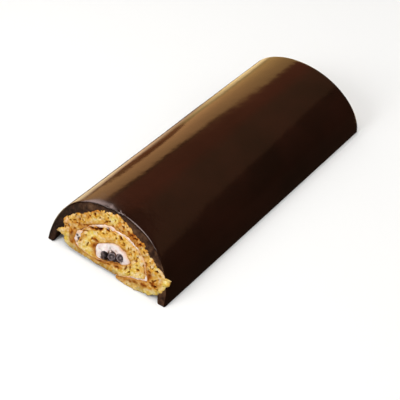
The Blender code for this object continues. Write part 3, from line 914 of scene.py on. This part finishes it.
def spongeCap(end, turns, across):
    # one cut of the sheet: torn lumps and holes, and how each point is coloured
    x, z, fromInner, fromOuter = sheetGrid(end, turns, across, crumb["ragged"])
    seed = 5 if end == "near" else 9
    depth, dark, shadeRoundPores = poreField(x, z, scatterPores(end, seed))
    openness = mix(0.35, 1.0, smoothStep((fromInner - 1.0) / 3.0))
    spots = flat(x, z, seed * 10.0)
    lumps = crumb["lumps"] * roughNoise(spots, 2.6, 3, seed) * openness
    lumps = lumps + 0.3 * noise(spots, 13.0, seed + 1)
    lumps = lumps + crumb["grit"] * noise(spots, 1.5, seed + 2) * openness
    rounding = 0.6 * np.exp(-np.minimum(fromInner, fromOuter) / 0.4)
    crease = 0.35 * np.exp(-fromInner / 0.5)
    behind = depth - lumps + rounding + crease - sheet["cutStand"]
    smearing = np.clip(tintField(end, "smearAndGlint", x, z, 1.8), 0, 0.9)
    lemon = 0.38 + 0.3 * noise(spots, 6.0, 2) + tintField(end, "lemon", x, z, 5.0)
    wallLightAndShade = crumb["contrast"] * openness * roughNoise(spots, 1.7, 3, seed + 3)
    # painted highlight: peach glints on the brightest walls
    glint = 1.6 * np.clip(-wallLightAndShade - 0.2, 0, 0.4)
    return behindCut(end, x, z, behind), {
        "baked": bakedField(end, x, z, fromInner, fromOuter, turns[:, None]),
        # painted shade inside the holes
        "pore": np.clip(dark * openness**0.5, 0, 1) * (1 - 0.5 * smearing),
        # painted shade round the holes, painted highlight and shade on the fine walls
        "shade": np.clip(0.98 + 0.7 * shadeRoundPores * openness**0.5 + wallLightAndShade, 0.75, 2.2),
        "lemon": np.clip(lemon, 0, 1),
        "smearAndGlint": np.clip(smearing + glint * (1 - shadeRoundPores), 0, 0.9),
        # painted shade toward the bottom and in patches
        "paintedShade": np.clip(tintField(end, "paintedShade", x, z, 4.0, patchy=0.2), 0, 1),
    }


def makeSponge():
    across = np.linspace(0, 1, sheet["across"] + 1)
    caps, fields, plain, torn = [], [], [], []
    for end in ("near", "far"):
        turns = evenTurns(end)
        cap, field = spongeCap(end, turns, across)
        caps.append(cap)
        fields.append(field)
        plain.append(stripEdge(np.stack(sheetGrid(end, turns, across, 0.0)[:2], axis=-1)))
        torn.append(stripEdge(cap)[:, [0, 2]] - plain[-1])
    # between the cuts the tears fade and the sheet keeps under the glaze
    rings, baked = [], []
    for share in sheet["rings"]:
        fromNear, fromFar = share * roll["length"], (1 - share) * roll["length"]
        section = mix(*plain, smoothStep(share * 1.4 - 0.2))
        section = section + torn[0] * math.exp(-fromNear / sheet["tearFade"])
        section = section + torn[1] * math.exp(-fromFar / sheet["tearFade"])
        hide = smoothStep(fromNear / 1.6) if share < 0.5 else 1.0
        tucked = insideDome(*section.T, share, glaze["leastThickness"] + 0.8)
        x, z = mix(section, np.stack(tucked, axis=-1), hide).T
        rings.append(np.stack([x, alongRoll(x, z, share), z], axis=-1))
        baked.append(np.clip(0.42 + 0.25 * noise(rings[-1], 8.0, 3), 0, 1))
    points, near, far, walls = closeSolid(caps, stripEdge, rings)
    rest = {"baked": np.concatenate(baked), "pore": 0, "lemon": 0.4, "smearAndGlint": 0, "paintedShade": 0, "shade": 1}
    layers = joinFields(*fields, rest, len(points) - 2 * near.size)
    return points, [gridFaces(near), gridFaces(far, flip=True), walls], layers


spongePoints, spongeFaces, spongeFields = makeSponge()
spongeMesh = buildMesh("sponge_sheet", spongePoints, spongeFaces, spongeFinish)
addPiece("sponge_sheet", "sponge", spongeMesh, spongeFields, sharp=60)

berry = {
    "sides": 44,
    "rings": 36,
    "squash": 0.92,
    "crownAngle": 46,  # degrees from the axis to the rim of the crown
    "rimHeight": 0.14,  # of the radius
    "dimple": 0.3,
    "lobes": 5,
    "lumps": 0.06,
}

# how each berry sits: its crown's lean in degrees to the side and up, its shift in x and z from
# the middle of its place, its share of that size, and how waxy it is
berrySeat = {
    "near": ((-30, 20, 1.0, 0.8, 1.14, 0.3), (24, -12, 0.0, 0.2, 1.12, 0.8),
             (36, -14, 0.4, 0.6, 1.0, 0.9)),
    "far": ((10, 12, 0.0, 0.0, 1.08, 0.5), (-18, -8, 0.0, 0.0, 1.12, 0.9),
            (6, -20, 0.0, 0.0, 1.08, 0.7)),
}


def berryShape(radius, seed):
    # a ball turned about z, its crown a flared ring of lobes round a dimple
    polar = np.linspace(0, 1, berry["rings"] + 1)[1:-1] ** 1.15 * math.pi
    turn = np.linspace(0, fullTurn, berry["sides"], endpoint=False)
    polar, turn = np.meshgrid(polar, turn, indexing="ij")
    rim = math.radians(berry["crownAngle"])
    lobes = 0.5 + 0.5 * np.cos(turn * berry["lobes"] + seed)
    ring = hump(polar, rim * (1 + 0.1 * lobes), 0.15) * (0.5 + 0.5 * lobes)
    hollow = smoothStep((rim * 1.05 - polar) / (rim * 0.7))
    reach = radius * (1 + berry["rimHeight"] * ring - berry["dimple"] * hollow)
    ball = np.stack([np.sin(polar) * np.cos(turn), np.sin(polar) * np.sin(turn), np.cos(polar)],
                    axis=-1)
    grid = ball * (reach * (1 + berry["lumps"] * noise(ball * 3, 2.0, seed)))[..., None]
    grid[..., 2] *= berry["squash"]
    poles = [[0, 0, radius * berry["squash"] * (1 - berry["dimple"])],
             [0, 0, -radius * berry["squash"]]]
    pale = np.clip(ring * 0.9 + hump(polar, 0.0, rim * 0.36), 0, 1)
    numbers = np.arange(polar.size).reshape(polar.shape)
    faces = [gridFaces(np.hstack([numbers, numbers[:, :1]])), fanFaces(polar.size, numbers[0]),
             fanFaces(polar.size + 1, numbers[-1], flip=True)]
    return np.vstack([grid.reshape(-1, 3), poles]), faces, np.append(pale.ravel(), [0.8, 0.0])


def makeBerry(end, number):
    solid = f"berry_{end}_{number}"
    low, high = cadBox(solid)
    toSide, up, shiftX, shiftZ, share, waxy = berrySeat[end][number - 1]
    cut = roll[end]
    shift = np.array([shiftX, cut["yaw"] * shiftX + cut["lean"] * shiftZ, shiftZ])
    middle = (low + high) / 2 + shift
    radius = float((high - low).max()) / 2 * share
    points, faces, pale = berryShape(radius, number + (0 if end == "near" else 5))
    axis = Vector((-cut["yaw"], 1.0, -cut["lean"])).normalized() * cut["out"]
    axis = (Matrix.Rotation(math.radians(toSide), 3, "Z")
            @ Matrix.Rotation(math.radians(up), 3, "X") @ axis)
    turned = np.array(axis.to_track_quat("Z", "Y").to_matrix())
    mesh = buildMesh(solid, points @ turned.T + middle, faces, berryFinish)
    addPiece(f"whole_{solid}", solid, mesh,
             {"crown": pale * mix(0.15, 0.95, waxy), "bloom": np.full_like(pale, waxy)})
    return middle, radius


berries = {end: [makeBerry(end, number) for number in (1, 2, 3)] for end in ("near", "far")}

cream = {
    "ribbonColumns": 620,
    "ribbonAcross": 10,
    "coreSides": 240,
    "coreRings": 54,
    "overlap": 0.25,  # cream reaches this far into the crumb
    "softness": 0.26,
    "lip": 0.3,  # cream pushed up round each berry
    "pressed": 0.97,  # share of a berry's radius that dents the cream
}

# Juice on each cut: x, z, half width, half height, strength and how deep the cream is sunk there
juiceRuns = {
    "near": (
        (0.4, 18.6, 1.2, 1.7, 0.3, 0.1), (6, 19, 1.8, 1, 0.28, 0.2), (8.4, 17.2, 1.5, 1.1, 0.34, 0.3),
        (12.6, 18, 1.4, 0.6, 0.16, 0.1), (4.2, 16, 2.2, 1.7, 1.25, 1.4), (8.2, 12.2, 3.8, 2.4, 1.3, 2.4),
        (-3.4, 8.9, 3, 1, 1, 0.8), (3.8, 9.9, 4.4, 1.3, 1.2, 1.4), (-8.2, 14.2, 1.7, 0.7, 0.2, 0.1),
        (0.2, 12.4, 1.2, 3.2, 1.1, 1.2), (7.2, 14.8, 1.9, 2.2, 0.7, 0.8), (-6, 12, 0.9, 2.6, 0.35, 0.2),
        (-31, 14.8, 1.3, 0.8, 1.1, 0.8), (-28.6, 13, 1, 1.4, 1.25, 1.2), (-32.4, 9, 1.2, 1, 1.1, 1),
        (-29, 10, 0.9, 0.7, 0.8, 0.7), (-31.4, 18.6, 0.9, 0.6, 0.6, 0.5),
        (-13.4, 28.2, 2.4, 0.7, 0.9, 1), (-16.8, 27.1, 1.7, 0.6, 0.9, 0.8),
        (-5, 31.8, 1.9, 0.6, 0.6, 0.6), (-9.4, 29.8, 1.1, 0.5, 0.6, 0.5),
        (2.6, 32.2, 1.3, 0.4, 0.45, 0.4), (11.5, 31.6, 1.4, 0.4, 0.4, 0.3),
        (20, 29.4, 1.2, 0.4, 0.4, 0.3), (36.8, 9.2, 1.2, 0.5, 0.25, 0.2),
    ),
    "far": (
        (0, 13, 1.2, 2.6, 0.7, 0.6), (6, 13.6, 2.6, 1.6, 0.8, 1), (8, 17.6, 2, 2, 0.3, 0.1),
        (-30, 13, 1, 1.2, 0.5, 0.5),
    ),
}


def juiceField(end, x, z):
    wet, sunk = np.zeros_like(x), np.zeros_like(x)
    edge = 1 + 0.45 * noise(flat(x, z, 44.0), 1.6, 3)
    for px, pz, wide, high, strength, depth in juiceRuns[end]:
        spot = np.exp(-((np.hypot((x - px) / wide, (z - pz) / high) * edge) ** 2))
        wet = np.maximum(wet, strength * spot)
        sunk = np.maximum(sunk, depth * spot)
    return np.clip(wet, 0, 1), sunk


def creamCap(end, x, z, seed, rounding):
    # smooth smears, a hollow under each berry and a lip round it
    behind = -cream["softness"] * roughNoise(flat(x, z, seed * 10.0), 3.6, 2, seed) - 0.1
    behind = behind + juiceField(end, x, z)[1]
    for middle, radius in berries[end]:
        away = np.hypot(x - middle[0], z - middle[2])
        dent = radius * cream["pressed"]
        hollow = 0.8 * np.sqrt(np.clip(dent**2 - away**2, 0, None)) + depthBehind(end, middle)
        behind = np.where(away < dent, np.maximum(behind, hollow), behind)
        above = smoothStep((z - middle[2]) / radius + 0.6)
        behind = behind - cream["lip"] * above * hump(away, radius * 1.08, 0.7)
    return behindCut(end, x, z, behind + rounding)


def makeRibbon():
    turns = np.linspace(sheet["ribbonStart"], sheet["ribbonEnd"], cream["ribbonColumns"] + 1)
    across = np.linspace(0, 1, cream["ribbonAcross"] + 1)
    caps, fields = [], []
    for end, seed in (("near", 3), ("far", 6)):
        inner = (ribbonReach(end, turns, -1) - cream["overlap"])[:, None]
        outer = (ribbonReach(end, turns, 1) + cream["overlap"])[:, None]
        x, z = place(turns[:, None], mix(inner, outer, across))
        thickness = outer - inner
        rounding = 0.35 * (2 * across - 1) ** 4 + 0.5 * np.exp(-thickness / 0.8)
        caps.append(creamCap(end, x, z, seed, rounding))
        # cream soaked into the crumb where the ribbon is thin
        soakAndShade = 0.3 + np.exp(-(thickness - 0.7) / 0.9)
        soakAndShade = soakAndShade + 0.5 * noise(flat(x, z, seed * 10.0), 4.0, seed + 2)
        fields.append({"soakAndShade": np.clip(soakAndShade, 0, 1), "juice": juiceField(end, x, z)[0]})
    points, near, far, walls = closeSolid(caps, stripEdge)
    layers = joinFields(*fields, {"soakAndShade": 0.4, "juice": 0}, len(points) - 2 * near.size)
    return points, [gridFaces(near), gridFaces(far, flip=True), walls], layers


def makeCore():
    turn = np.linspace(0, fullTurn, cream["coreSides"], endpoint=False)
    rings = np.linspace(0, 1, cream["coreRings"] + 1)[1:]
    caps, fields, centres = [], [], []
    for end, seed in (("near", 4), ("far", 7)):
        reach = coreReach(end, turn) + cream["overlap"]
        reach = (reach + 0.25 * noise(flat(*place(turn, reach)), 3.0, 4))[:, None]
        x, z = place(turn[:, None], reach * rings)
        edge = (1 - rings) * reach
        caps.append(creamCap(end, x, z, seed, 0.4 * np.exp(-edge / 0.5)))
        # painted shade: the core turns beige toward its edge, more to the right and top
        toRight = smoothStep((x + 0.5 * z - 6) / 14)
        soakAndShade = mix(0.5, 1.0, toRight) * np.exp(-edge / mix(0.7, 1.3, toRight))
        soakAndShade = np.clip(soakAndShade + 0.12 * noise(flat(x, z), 5.0, 9), 0, 1)
        fields.append({"soakAndShade": soakAndShade, "juice": juiceField(end, x, z)[0]})
        centres.append(creamCap(end, *np.array(roll["coreCentre"], float)[:, None], seed, 0.0))
    points, near, far, walls = closeSolid(caps, ringEdge)
    faces = [gridFaces(np.vstack([near, near[:1]]), flip=True), gridFaces(np.vstack([far, far[:1]])),
             walls, fanFaces(len(points), near[:, 0], flip=True),
             fanFaces(len(points) + 1, far[:, 0])]
    points = np.vstack([points, *centres])
    layers = joinFields(*fields, {"soakAndShade": 0.2, "juice": 0}, len(points) - 2 * near.size)
    return points, faces, layers


ribbonPoints, ribbonFaces, ribbonFields = makeRibbon()
corePoints, coreFaces, coreFields = makeCore()
creamMesh = buildMesh("cream_filling", np.vstack([ribbonPoints, corePoints]),
                      ribbonFaces + [block + len(ribbonPoints) for block in coreFaces], creamFinish)
addPiece("cream_filling", "cream", creamMesh,
         {label: np.concatenate([ribbonFields[label], coreFields[label]]) for label in coreFields})

studio = {
    "floor": "#f2f1ef",
    "floorSize": 6000,
    "keyPlace": (-260, -760, 620),
    "keySize": 480,
    "keyPower": 4.2,
    "topPlace": (0, 0, 1400),
    "topSize": 1300,
    "topPower": 10,
    "ambient": 0.55,
    "reflected": (0.03, 0.015, 0.01, 1),  # what gloss sees between the cards
    "below": (0.05, 0.03, 0.02),
    "wallX": -600,
}


def addPanel(name, rows, glows, seenBy=("glossy",)):
    # a glowing card: rows of corners joined by quads, or one outline, with a colour for each row
    # or for each of its corners
    rows = np.array(rows, float)
    numbers = np.arange(rows[..., 0].size).reshape(rows.shape[:2])
    material, tree, *_ = startMaterial(name)
    tree.nodes.clear()
    found = addNode(tree, "Attribute", "Color", attribute_name="glow")
    light = addNode(tree, "Emission", "Emission", {"Color": found})
    addNode(tree, "OutputMaterial", None, {"Surface": light})
    mesh = buildMesh(name, rows.reshape(-1, 3),
                     [numbers if len(rows) == 1 else gridFaces(numbers)], material)
    layer = mesh.attributes.new("glow", "FLOAT_COLOR", "POINT")
    colours = np.ones((*rows.shape[:2], 4), np.float32)
    for row, glow in zip(colours, glows):
        row[:, :3] = glow
    layer.data.foreach_set("color", colours.ravel())
    card = addObject(name, mesh)
    for ray in ("camera", "diffuse", "glossy", "shadow", "transmission"):
        setattr(card, f"visible_{ray}", ray in seenBy)


def pointThing(thing, spot, way):
    # stands a lamp or camera on a spot in mm, facing this way
    thing.location = spot * mm
    thing.rotation_mode = "QUATERNION"
    thing.rotation_quaternion = way.to_track_quat("-Z", "Y")


def addSoftbox(name, spot, aim, size, power):
    light = bpy.data.lights.new(name, "AREA")
    light.shape = "RECTANGLE"
    light.size = light.size_y = size * mm
    light.energy = power
    lamp = addObject(name, light)
    pointThing(lamp, Vector(spot), Vector(aim) - Vector(spot))
    lamp.visible_glossy = lamp.visible_camera = False


def squareAt(half, z):
    return [(-half, -half, z), (half, -half, z), (half, half, z), (-half, half, z)]


def makeFloorAndLight():
    paper, tree, shader, _ = startMaterial("backdrop paper")
    setInputs(tree, shader, {"Base Color": linear(studio["floor"]), "Roughness": 0.9,
                             "Specular IOR Level": 0.0})
    floor = addObject("floor", buildMesh("floor", squareAt(studio["floorSize"], -0.3),
                                         [np.arange(4)[None]], paper))
    floor.visible_glossy = floor.visible_diffuse = False

    world = bpy.data.worlds.new("studio")
    bpy.context.scene.world = world
    world.use_nodes = True
    tree = world.node_tree
    tree.nodes.clear()
    glossy = addNode(tree, "LightPath", "Is Glossy Ray")
    soft = addNode(tree, "Background", "Background",
                   {"Color": (1, 1, 1, 1), "Strength": studio["ambient"]})
    dark = addNode(tree, "Background", "Background",
                   {"Color": studio["reflected"], "Strength": 1.0})
    both = addNode(tree, "MixShader", "Shader", {0: glossy, 1: soft, 2: dark})
    addNode(tree, "OutputWorld", None, {"Surface": both})

    addSoftbox("key softbox", studio["keyPlace"], (0, -110, 20), studio["keySize"],
               studio["keyPower"])
    addSoftbox("top light", studio["topPlace"], (0, 0, 0), studio["topSize"], studio["topPower"])
    # the cake sees a dark tray below it, where the camera sees paper
    addPanel("tray below", [squareAt(3000, -1)], [studio["below"]], ("diffuse", "glossy"))


def makeWall():
    # warm wall behind on the left, whose reflection lies along the roll's shoulder: for each y, its
    # foot, its top and how it glows
    wall = (
        (-100, 12, 350, (2.1, 1.1, 0.43)), (222, 14, 376, (2.1, 1.1, 0.43)),
        (246, 82, 384, (2.2, 1.12, 0.43)), (272, 110, 390, (2.25, 1.12, 0.43)),
        (300, 120, 396, (2.25, 1.12, 0.43)), (362, 118, 432, (2.25, 1.12, 0.43)),
        (384, 62, 438, (2.25, 1.12, 0.43)), (402, 4, 440, (2.25, 1.12, 0.43)),
        (508, 4, 446, (2.2, 1.1, 0.42)), (591, 4, 478, (2.1, 1.08, 0.4)),
        (703, 4, 569, (2.0, 1.06, 0.38)), (823, 4, 657, (1.9, 1.02, 0.36)),
        (1035, 4, 899, (1.75, 0.97, 0.33)), (2400, 4, 1500, (1.75, 0.97, 0.33)),
    )
    wallX, cornice, dimFoot = studio["wallX"], 34, np.array((0.84, 0.92, 0.8))
    # it dims toward its foot past the gap
    glows = [[np.array(glow) * mix(1.0, dimFoot, smoothStep((y - 400) / 150)), glow]
             for y, *_, glow in wall]
    addPanel("warm wall", [[(wallX, y, low), (wallX, y, high)] for y, low, high, _ in wall], glows)
    addPanel("cornice", [[(wallX, y, high), (wallX, y, high + cornice)] for y, _, high, _ in wall],
             [(0.95, 0.4, 0.14)] * len(wall))
    # a red-brown opening low in the wall
    addPanel("opening", [[(wallX - 4, y, 1), (wallX - 4, y, 130)] for y in (215, 260, 300, 350, 410)],
             [(0.9, 0.5, 0.2), (0.5, 0.2, 0.06), (0.5, 0.15, 0.04), (0.38, 0.1, 0.025),
              (0.7, 0.3, 0.1)])


def makeBoards():
    # pale boards lying to the left, with a gap that shows as a dark streak: for each y, the near
    # board's left and right side and how each glows
    along = (
        (-400, -330, -98, (2.3, 1.65, 0.95), (2.3, 1.65, 0.95)),
        (-30, -330, -98, (2.4, 1.75, 1.0), (2.4, 1.75, 1.0)),
        (13, -325, -98, (2.1, 1.35, 0.8), (1.9, 1.15, 0.62)),
        (40, -310, -98, (1.6, 1.0, 0.6), (1.5, 0.95, 0.55)),
        (56, -222, -98, (1.35, 0.8, 0.45), (1.35, 0.8, 0.45)),
        (82, -215, -94, (0.95, 0.53, 0.27), (1.1, 0.65, 0.32)),
        (112, -215, -91, (1.1, 0.66, 0.24), (1.8, 1.2, 0.5)),
        (145, -215, -91, (1.25, 0.8, 0.32), (2.4, 1.7, 0.78)),
        (180, -215, -91, (2.2, 1.5, 0.74), (2.2, 1.6, 0.76)),
        (280, -215, -91, (2.3, 1.6, 0.7), (2.2, 1.5, 0.66)),
        (1500, -215, -91, (2.2, 1.55, 0.65), (2.2, 1.55, 0.65)),
    )
    rim, rimGlow = 8, 0.6
    addPanel("near board", [[(left, y, 1), (right, y, 1)] for y, left, right, *_ in along],
             [row[-2:] for row in along])
    addPanel("near board's edge", [[(right, y, 1), (right + rim, y, 1)] for y, _, right, *_ in along],
             [np.array(row[-1]) * rimGlow for row in along])
    addPanel("gap between boards",
             [[(studio["wallX"] - 4, y, 0), (-204, y, 0)] for y in (40, 120, 400)],
             [(0.4, 0.14, 0.045), (0.42, 0.14, 0.045), (0.8, 0.28, 0.09)])
    addPanel("far board", [[(studio["wallX"], 395, 1), (-363, 237, 1), (-215, 132, 1),
                            (-215, 1500, 1), (studio["wallX"], 1500, 1)]], [(1.15, 0.73, 0.26)])


def makeCeiling():
    # brown ceiling, redder on the left and ending to the right of the roll
    red, dim, off, high = (0.47, 0.125, 0.06), (0.28, 0.14, 0.07), (0, 0, 0), 600
    edge = ((700, 780, 310), (660, 740, 420), (517, 600, 424), (411, 480, 444), (388, 450, 496),
            (382, 440, 554), (298, 360, 640), (225, 285, 1400))
    front = ((-700, 285), (-300, 236), (-120, 212), (700, 184), (780, 184))
    rows = [[(x, y + step, high) for x, y in front] for step in (0, 34)]
    rows += [[(-700, y + 30, high), (-300, y, high), (-120, y, high), (last, y, high),
              (beyond, y, high)] for last, beyond, y in edge]
    addPanel("ceiling", rows, [off] + [[red, red, dim, dim, off]] * (len(edge) + 1))


def makeWindows():
    # window high on the left, which the rounded near edge catches: one row for each side of a pane
    panes = (
        ((-512, 158, 238), (-371, 83, 523), 0.25), ((-530, 104, 248), (-382, 50, 560), 0.8),
        ((-544, 36, 256), (-385, -7, 582), 1.0), ((-558, -86, 270), (-388, -92, 590), 1.0),
        ((-520, -240, 236), (-370, -190, 540), 0.9),
    )
    daylight = np.array((6.2, 4.7, 4.4))
    addPanel("window", [[low, high] for low, high, _ in panes], [daylight * row[-1] for row in panes])
    # a pane behind the viewer draws the thin line down the right of that edge
    turns = np.radians((-122, -140, -158, -175, 170))
    addPanel("front pane", [[(away * math.sin(turn), away * math.cos(turn) - 105, z) for turn in turns]
                            for away, z in ((620, 400), (430, 640))], [(7.2, 5.9, 5.5)] * 2)
    # the far rim of the tray, whose light the far edge catches low on the right
    addPanel("tray rim", [[(32, y, 0), (78, y, 0)] for y in (150, 176)], [(1.9, 1.1, 0.45)] * 2)


camera = {
    "aim": (22.8, -40.6, 25.0),
    "azimuth": 40.2,
    "elevation": 45.4,
    "distance": 792.3,
    "lens": 92.43,
    "sensor": 36.0,
    "clip": (0.01, 50),
}


def makeCamera():
    data = bpy.data.cameras.new("camera")
    data.lens = camera["lens"]
    data.sensor_width = camera["sensor"]
    data.clip_start, data.clip_end = camera["clip"]
    side, up = math.radians(camera["azimuth"]), math.radians(camera["elevation"])
    back = Vector((math.sin(side) * math.cos(up), -math.cos(side) * math.cos(up), math.sin(up)))
    holder = addObject("camera", data)
    pointThing(holder, Vector(camera["aim"]) + back * camera["distance"], -back)
    bpy.context.scene.camera = holder


makeFloorAndLight()
makeWall()
makeBoards()
makeCeiling()
makeWindows()
makeCamera()
bpy.context.scene.view_settings.view_transform = "Standard"
print("studio ready")
